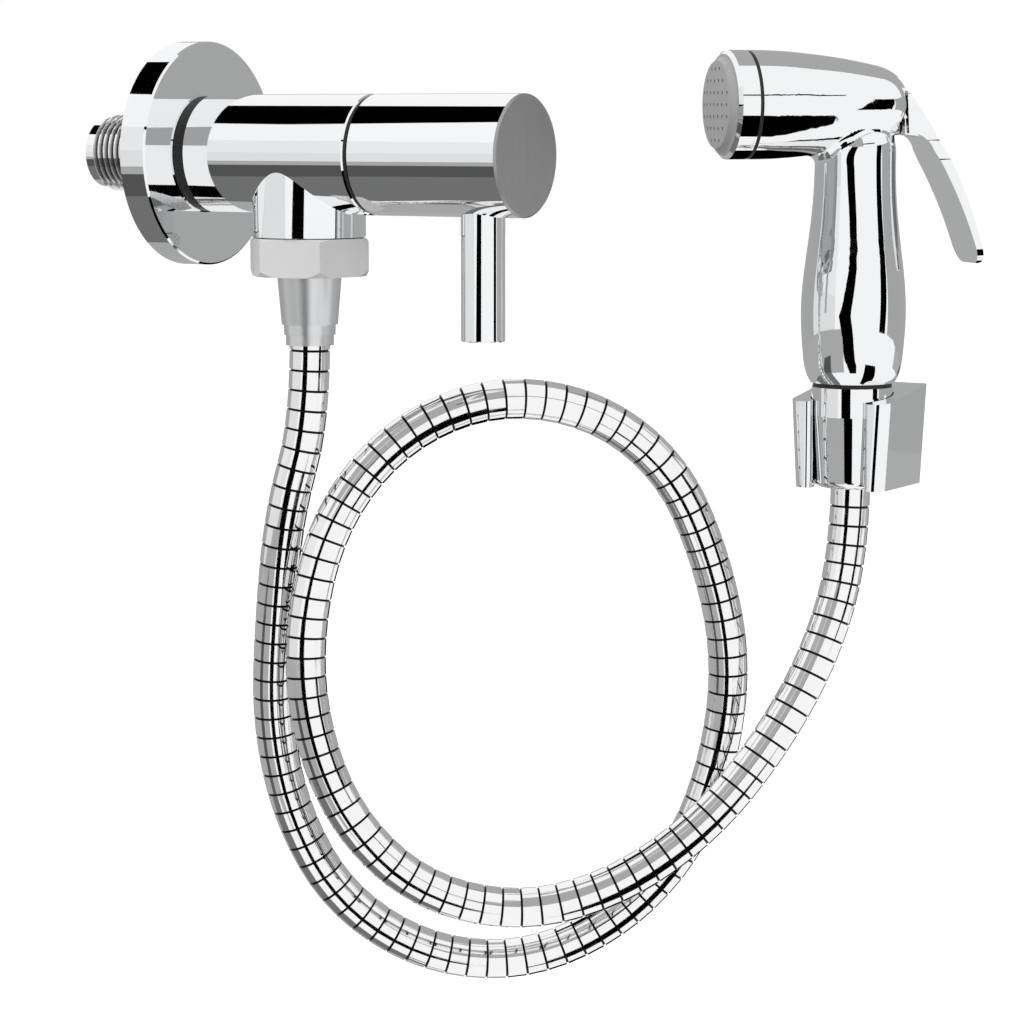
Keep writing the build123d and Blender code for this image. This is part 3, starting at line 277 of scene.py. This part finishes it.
def brushed_end(name, start):
    """Polished plate whose end, beyond a place along its axis, is satin."""
    finish = Finish(name, Metallic=1.0)
    end = finish.node("ShaderNodeSeparateXYZ", Vector=finish.spot()) > start
    streaks = finish.noise(STREAK_WAVES, 3, STREAK_STRETCH, STREAK_TURN)
    satin = finish.blend(streaks, *(grey(tone) for tone in SATIN_TONES))
    finish.set("Base_Color", finish.blend(end, grey(PLATE_TONE, PLATE_WARMTH), satin))
    hazy = polish(finish, PLATE_ROUGHNESS, PLATE_SMEAR)[1]
    finish.set("Roughness", hazy + end * SATIN_ROUGHNESS)
    return finish.material


def moulded(name, tone, roughness, grain=1400, warmth=0.0):
    """Moulded plastic or rubber: fine grain and a little mottling."""
    finish = Finish(name)
    mottle = finish.noise(MOTTLE_WAVES, 4)
    speckle = finish.noise(grain, 3)
    tones = [grey(tone * shade, warmth) for shade in MOTTLE_SHADES]
    finish.set("Base_Color", finish.blend(mottle, *tones))
    finish.set("Roughness", finish.ramp(speckle, *GRAIN_RANGE, roughness - 0.05, roughness + 0.08))
    finish.bump(speckle, 0.12, 0.08 * MM)
    return finish.material


def turned(name, colour, roughness, stretch):
    """Machined metal with fine tool marks."""
    finish = Finish(name, Metallic=1.0)
    marks = finish.noise(TOOL_MARK_WAVES, 2, stretch)
    dark = tuple(channel * TOOL_MARK_SHADE for channel in colour)
    finish.set("Base_Color", finish.blend(marks, (*dark, 1), (*colour, 1)))
    finish.set("Roughness", finish.ramp(marks, *GRAIN_RANGE, roughness, roughness + 0.12))
    finish.bump(marks, 0.1, 0.05 * MM)
    return finish.material


def grooved(name, dark):
    """Polished metal with shade painted into its grooves: dark and dull where its vertex attribute for the
    groove is high.
    """
    finish = Finish(name, Metallic=1.0)
    joint = finish.node("ShaderNodeAttribute", {"attribute_name": "joint"}, output=ATTRIBUTE_FACTOR)
    worn = finish.noise(WEAR_WAVES, 4)
    bright = finish.blend(worn, *(grey(tone) for tone in WEAR_TONES))
    # painted shade: the base colour goes to the dark tone down in the grooves
    finish.set("Base_Color", finish.blend(joint, bright, grey(dark)))
    finish.set("Roughness", finish.ramp(worn, *WEAR_RANGE, *WEAR_ROUGHNESS) + joint * JOINT_ROUGHNESS)
    return finish.material


SATIN_EDGE = 0.6 * MM     # the satin of the knob's face reaches this far round its edge
finishes = {
    "chrome": plated("chrome"),
    "valve_casting": plated("valve_casting", roughness=0.02),
    "chromed_plastic": plated("chromed_plastic", tone=0.91, roughness=0.02),
    "brass": turned("nickelled_brass", (0.62, 0.58, 0.5), roughness=0.22, stretch=(1, 1, 6)),
    "steel": turned("steel", (0.62, 0.63, 0.64), roughness=0.24, stretch=(1, 1, 8)),
    # the hose's grooves get painted shade, near black
    "hose_steel": grooved("hose_steel", dark=0.012),
    "nut_plastic": moulded("nut_plastic", tone=0.80, roughness=0.3),
    "face_plastic": moulded("face_plastic", tone=0.42, roughness=0.4),
    "ceramic": moulded("ceramic", tone=0.8, roughness=0.15, grain=2600, warmth=0.03),
    "black_rubber": moulded("black_rubber", tone=0.012, roughness=0.5),
    "clear_hose": moulded("inner_tube", tone=0.6, roughness=0.4, grain=1200, warmth=0.03),
    "white_plastic": moulded("white_plastic", tone=0.72, roughness=0.4, grain=1500, warmth=0.01),
}
own_finishes = {
    "knob": brushed_end("knob_plating", KNOB_FACE - SATIN_EDGE),
    "valve_end_ferrule": plated("satin_plated", tone=0.80, roughness=0.30, smear=0.06),
}
# the thread's roots get painted shade
cut_thread = grooved("cut_thread", dark=0.02)


def put(thing, material):
    """One material on the whole of a piece."""
    thing.data.materials.clear()
    thing.data.materials.append(material)


def dress_nodes():
    """Gives each CAD node its own finish, or else that of its slot in the record."""
    for part in frame["record"]["subparts"]:
        name = part["node"]
        put(frame["nodes"][name], own_finishes.get(name, finishes[part["material_slot"]]))


def piece(name, shape, material, smooth=True):
    """Makes an object of a bmesh, with its place in its mesh."""
    mesh = bpy.data.meshes.new(name)
    shape.to_mesh(mesh)
    shape.free()
    thing = add(name, mesh)
    put(thing, material)
    for face in mesh.polygons:
        face.use_smooth = smooth
    return thing


def copied(name, node, material):
    """Copy of a CAD node, not merged, so that it keeps the normals that its reflections need."""
    thing = add(name, frame["nodes"][node].data.copy())
    put(thing, material)
    return thing


dress_nodes()

# The hose: its route from the valve's ferrule round the loop to the handset's sleeve, in millimetres
ROUTE_STEPS = 24          # points of the spline from one point of the route to the next
ROUTE = [
    (40, 0, -47.15),
    (40, 0, -71),
    (33.5, -3.5, -97),
    (29, -2, -126),
    (26, 0, -155),
    (29, 5, -183),
    (39, 14, -208),
    (59, 27, -224),
    (82, 43, -227),
    (103, 59, -216),
    (119, 71, -195),
    (127, 76, -168),
    (130, 76, -140),
    (126, 71, -112),
    (118, 62, -86),
    (101, 48, -69),
    (79, 30, -65),
    (59, 13, -76),
    (45.7, 0.7, -98),
    (41, -5.5, -126),
    (42, -5.5, -154),
    (51, -1, -181),
    (68, 10, -201),
    (91, 26, -208),
    (113, 42, -201),
    (131, 58, -185),
    (144, 71, -164),
    (154, 83, -139),
    (158.3, 92.6, -111),
    (158.3, 92.6, -86.65),
]
RIB_COUNT = 150
RIB_SIDES = 36
RIB_PROFILE = [           # share of the rib's pitch, radius in millimetres, and how dark the shade painted into the groove is
    (0.0, 5.05, 1.0),
    (0.05, 5.05, 1.0),
    (0.06, 5.5, 0.0),
    (0.94, 5.5, 0.0),
    (0.95, 5.05, 1.0),
]


def hose_line():
    """Points along the smooth spline of the route."""
    curve = bpy.data.curves.new("hose_line", "CURVE")
    curve.dimensions = "3D"
    spline = curve.splines.new("NURBS")
    spline.points.add(len(ROUTE) - 1)
    for point, spot in zip(spline.points, ROUTE):
        point.co = (*(Vector(spot) * MM), 1)
    spline.order_u = 3
    spline.use_endpoint_u = True
    spline.resolution_u = ROUTE_STEPS
    holder = bpy.data.objects.new("hose_line", curve)
    line = [vertex.co.copy() for vertex in bpy.data.meshes.new_from_object(holder).vertices]
    bpy.data.objects.remove(holder)
    return line


class Track:
    """Places along a line of points, by distance, with a frame that doesn't twist."""

    def __init__(self, points):
        self.points = points
        self.reach = [0.0]
        for here, there in zip(points, points[1:]):
            self.reach.append(self.reach[-1] + (there - here).length)
        self.length = self.reach[-1]
        self.last_span = len(points) - 2
        self.span = 0
        self.across = RIGHT.copy()

    def heading(self, span):
        return (self.points[span + 1] - self.points[span]).normalized()

    def at(self, distance):
        """Matrix at a distance; distances are asked for in rising order."""
        while self.span < self.last_span and self.reach[self.span + 1] < distance:
            self.span += 1
        here, there = self.points[self.span:self.span + 2]
        share = (distance - self.reach[self.span]) / (there - here).length
        along = self.heading(self.span)
        if self.span < self.last_span:
            along = along.lerp(self.heading(self.span + 1), share).normalized()
        self.across = (self.across - along * self.across.dot(along)).normalized()
        turn = Matrix((self.across, along.cross(self.across), along)).transposed().to_4x4()
        return Matrix.Translation(here.lerp(there, share)) @ turn


def rib_stations(length):
    """Distance, radius and darkness of each ring of the hose."""
    pitch = length / RIB_COUNT
    stations = []
    for rib in range(RIB_COUNT):
        for share, radius, dark in RIB_PROFILE:
            stations.append(((rib + share) * pitch, radius * MM, dark))
    first_radius, first_dark = stations[0][1:]
    stations.append((length, first_radius, first_dark))
    return stations


def next_ring(shape, ring, edges):
    """Extrudes a ring of edges in place; gives its new vertices, in the old ones' order, and new edges."""
    order = {tuple(vertex.co): number for number, vertex in enumerate(ring)}
    grown = bmesh.ops.extrude_edge_only(shape, edges=edges)["geom"]
    fresh = [item for item in grown if isinstance(item, bmesh.types.BMVert)]
    fresh.sort(key=lambda vertex: order[tuple(vertex.co)])
    lines = [item for item in grown if isinstance(item, bmesh.types.BMEdge)]
    return fresh, [line for line in lines if all(vertex in fresh for vertex in line.verts)]


def ribbed_hose():
    """Wound metal hose, rib by rib along the route's spline."""
    track = Track(hose_line())
    shape = bmesh.new()
    joint = shape.verts.layers.float.new("joint")
    bmesh.ops.create_circle(shape, cap_ends=True, segments=RIB_SIDES, radius=1.0)
    ring = list(shape.verts)
    edges = list(shape.edges)
    circle = [vertex.co.copy() for vertex in ring]
    for distance, radius, dark in rib_stations(track.length):
        if distance > 0:
            ring, edges = next_ring(shape, ring, edges)
        spot = track.at(distance)
        for vertex, unit in zip(ring, circle):
            vertex.co = spot @ (unit * radius)
            # painted shade: the rings at the bottom of a groove are marked dark
            vertex[joint] = dark
        for edge in edges:
            edge.smooth = False
    bmesh.ops.contextual_create(shape, geom=edges)
    bmesh.ops.recalc_face_normals(shape, faces=shape.faces)
    hose = piece("hose", shape, finishes["hose_steel"])

    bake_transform(hose)
    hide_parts("hose_armour", "hose_liner")


ribbed_hose()

# The threaded inlet
THREAD_PITCH = 1.814 * MM
THREAD_CREST = 10.47 * MM
THREAD_ROOT = 9.3 * MM
THREAD_START = INLET_END + 0.2 * MM
THREAD_TURNS = 15.5
THREAD_STEPS = 48         # round one turn
THREAD_MERGE = 0.02 * MM  # joins each turn to the next
THREAD_PROFILE = [        # share of the pitch, and radius
    (0.0, THREAD_ROOT),
    (0.1, THREAD_ROOT),
    (0.42, THREAD_CREST),
    (0.58, THREAD_CREST),
    (0.9, THREAD_ROOT),
    (1.0, THREAD_ROOT),
]
BARE_INLET_END = 2.5 * MM
BARE_INLET_RADIUS = THREAD_ROOT + 0.02 * MM


def from_axis(vertex):
    """The part of a vertex's place that is square to the valve's axis."""
    return Vector((0, vertex.co.y, vertex.co.z))


def threaded_body():
    """The valve's casting, with its inlet turned down to the root of the thread."""
    body = copied("valve_body_threaded", "valve_body", finishes["valve_casting"])
    for vertex in body.data.vertices:
        reach = from_axis(vertex)
        if vertex.co.x < BARE_INLET_END and reach.length > THREAD_ROOT:
            reach *= BARE_INLET_RADIUS / reach.length
            vertex.co.y = reach.y
            vertex.co.z = reach.z
    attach(body, "fixed")
    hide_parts("valve_body")


def inlet_thread():
    """The cut thread, a ridge that winds round the inlet and fades out in its first and last turns."""
    ridge = bmesh.new()
    chain = []
    for share, radius in THREAD_PROFILE:
        chain.append(ridge.verts.new((THREAD_START + share * THREAD_PITCH, 0, radius)))
    for one, other in zip(chain, chain[1:]):
        ridge.edges.new((one, other))
    bmesh.ops.spin(
        ridge,
        geom=ridge.verts[:] + ridge.edges[:],
        cent=(0, 0, 0),
        axis=(1, 0, 0),
        dvec=(THREAD_PITCH / THREAD_STEPS, 0, 0),
        angle=THREAD_TURNS * 2 * pi,
        steps=int(THREAD_TURNS * THREAD_STEPS),
    )
    bmesh.ops.remove_doubles(ridge, verts=ridge.verts, dist=THREAD_MERGE)
    joint = ridge.verts.layers.float.new("joint")
    full_from = THREAD_START + THREAD_PITCH
    full_to = THREAD_START + THREAD_TURNS * THREAD_PITCH
    for vertex in ridge.verts:
        reach = from_axis(vertex).length
        begun = max(0, (vertex.co.x - full_from) / THREAD_PITCH)
        left = max(0, (full_to - vertex.co.x) / THREAD_PITCH)
        wanted = THREAD_ROOT + (reach - THREAD_ROOT) * min(1, begun, left)
        # painted shade: the lower the ridge stands, the darker, so the roots are darkest
        vertex[joint] = (THREAD_CREST - wanted) / (THREAD_CREST - THREAD_ROOT)
        vertex.co.y *= wanted / reach
        vertex.co.z *= wanted / reach
    bmesh.ops.recalc_face_normals(ridge, faces=ridge.faces)
    thread = piece("inlet_thread", ridge, cut_thread, smooth=False)
    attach(thread, "fixed")


threaded_body()
inlet_thread()


# The return spring, which the plunger presses together when the trigger is pulled
def return_coil():
    """Spring copied from the CAD node, whose front end sits in the handset."""
    coil = copied("return_coil", "return_spring", finishes["steel"])
    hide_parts("return_spring")
    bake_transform(coil)


return_coil()

# Studio: screens that only reflections see, a pale floor, a white background and soft lamps
STUDIO_MIDDLE = Vector((0.1, 0.03, -0.05))
STUDIO_REACH = 3.0
SCREEN_GAP = 0.02         # each screen hangs this much in front of the one before
SCREEN_STEP = 6           # degrees between a screen's points
SCREENS = [               # name, brightness, and rows of a height and two ends, all in degrees
    ("behind", 0.40, (-9, 76, 255), (14, 76, 255)),
    ("behind_low", 0.40, (-60, 178, 255), (-9, 178, 255)),
    ("behind_right", 0.44, (-17, 106, 141), (-9, 106, 141)),
    ("behind_edge", 0.0, (-60, 142, 178), (-9, 142, 178)),
    ("behind_high", 0.42, (14, 104, 178), (72, 104, 178)),
    ("upper_left", 0.0, (45, -142, -84), (63, -142, -84)),
    ("soft_left", 0.80, (-9, -105, -46), (4, -105, -46)),
    ("softer_left", 0.88, (4, -105, -46), (22, -105, -46)),
    ("left", 0.42, (-34, -178, -26), (-9, -178, -26)),
    ("low_left", 0.17, (-75, -150, -50), (-32, -130, -62)),
    ("front_left", 0.09, (-32, -86, -62), (-15, -76, -58)),
    ("high_left", 0.45, (22, -56, -24), (56, -60, -24)),
    ("front_high", 0.42, (14, -22, 18), (70, -22, 18)),
    ("middle", 0.0, (-36, -12, 6), (-22, -18, 5), (-9, -32, -6), (-4, -37, -10), (0, -30, -8),
     (14, -14, 4)),
    ("right", 0.0, (-9, 55, 70), (14, 60, 76)),
    ("right_low", 0.0, (-62, 28, 66), (-38, 26, 60), (-20, 26, 52)),
    ("line", 0.0, (18.8, 16, 54), (21.2, 16, 54)),
]
SOFT_LIGHT = 0.7          # the background's light on the object, as a share of the white that shows
FLOOR_SIZE = 6.0
FLOOR_DROP = 0.06
FLOOR_GLOW = 0.8


def glowing(name, level):
    """Material of one even brightness."""
    material = bpy.data.materials.new(name)
    material.use_nodes = True
    tree = material.node_tree
    tree.nodes.remove(tree.nodes["Principled BSDF"])
    light = Nodes(tree).node("ShaderNodeEmission", Color=grey(level))
    connect(tree, tree.nodes["Material Output"].inputs["Surface"], light)
    return material


def direction(turn, rise):
    """Unit vector, turned right of the line to the camera and raised, in degrees."""
    flat = NEAR * cos(radians(turn)) + RIGHT * sin(radians(turn))
    return flat * cos(radians(rise)) + UP * sin(radians(rise))


def screen_lines(rows):
    """A screen's rows, with even steps between them."""
    lines = [rows[0]]
    for row, above in zip(rows, rows[1:]):
        steps = 1 + int(abs(above[0] - row[0]) / SCREEN_STEP)
        for step in range(1, steps + 1):
            lines.append([one + (other - one) * step / steps for one, other in zip(row, above)])
    return lines


def screen(name, level, rows, reach):
    lines = screen_lines(rows)
    columns = 1 + int(max(abs(right - left) for rise, left, right in rows) / SCREEN_STEP)
    shape = bmesh.new()
    bmesh.ops.create_grid(shape, x_segments=columns, y_segments=len(lines) - 1, size=1.0)
    for vertex in shape.verts:
        rise, left, right = lines[round((vertex.co.y + 1) / 2 * (len(lines) - 1))]
        turn = left + (right - left) * (vertex.co.x + 1) / 2
        vertex.co = STUDIO_MIDDLE + direction(turn, rise) * reach
    thing = piece(name, shape, glowing(name, level), smooth=False)
    for ray in ("camera", "diffuse", "transmission", "volume_scatter", "shadow"):
        setattr(thing, "visible_" + ray, False)


def studio():
    """Light and dark screens that give the plating its bands."""
    for number, (name, level, *rows) in enumerate(SCREENS):
        screen(name, level, rows, STUDIO_REACH - SCREEN_GAP * number)


def background(nodes, soft):
    """White for what the camera, metal and glass see, and soft light for what falls on the object."""
    seen = nodes.node("ShaderNodeLightPath", output="Is Camera Ray")
    for ray in ("Is Glossy Ray", "Is Transmission Ray"):
        seen = seen + nodes.node("ShaderNodeLightPath", output=ray)
    return seen.math("MINIMUM", 1.0) * (1 - soft) + soft


def world():
    """White background that lights the object softly."""
    sky = bpy.data.worlds.new("studio")
    scene.world = sky
    sky.use_nodes = True
    shade = sky.node_tree.nodes["Background"]
    shade.inputs["Color"].default_value = grey(1)
    connect(sky.node_tree, shade.inputs["Strength"], background(Nodes(sky.node_tree), SOFT_LIGHT))


def floor():
    """Pale floor below the hose, which keeps a soft shadow."""
    shape = bmesh.new()
    bmesh.ops.create_grid(shape, x_segments=1, y_segments=1, size=FLOOR_SIZE)
    bmesh.ops.translate(shape, verts=shape.verts, vec=(0, 0, cad_low.z - FLOOR_DROP))
    finish = Finish("floor", Base_Color=grey(0.5), Roughness=0.9, Specular_IOR_Level=0.0)
    finish.set("Emission_Color", grey(1))
    finish.set("Emission_Strength", background(finish, 0.0) * FLOOR_GLOW)
    ground = piece("floor", shape, finish.material, smooth=False)
    ground.visible_glossy = False


def lamp(name, place, size, power):
    data = bpy.data.lights.new(name, "AREA")
    data.shape = "SQUARE"
    data.size = size
    data.energy = power
    light = add(name, data)
    aim(light, place)
    light.visible_glossy = False


studio()
world()
floor()
lamp("key", place=(-0.5, -0.9, 0.9), size=0.8, power=6)
lamp("fill", place=(1.2, -0.6, 0.5), size=0.8, power=3)

scene.view_settings.view_transform = "Standard"
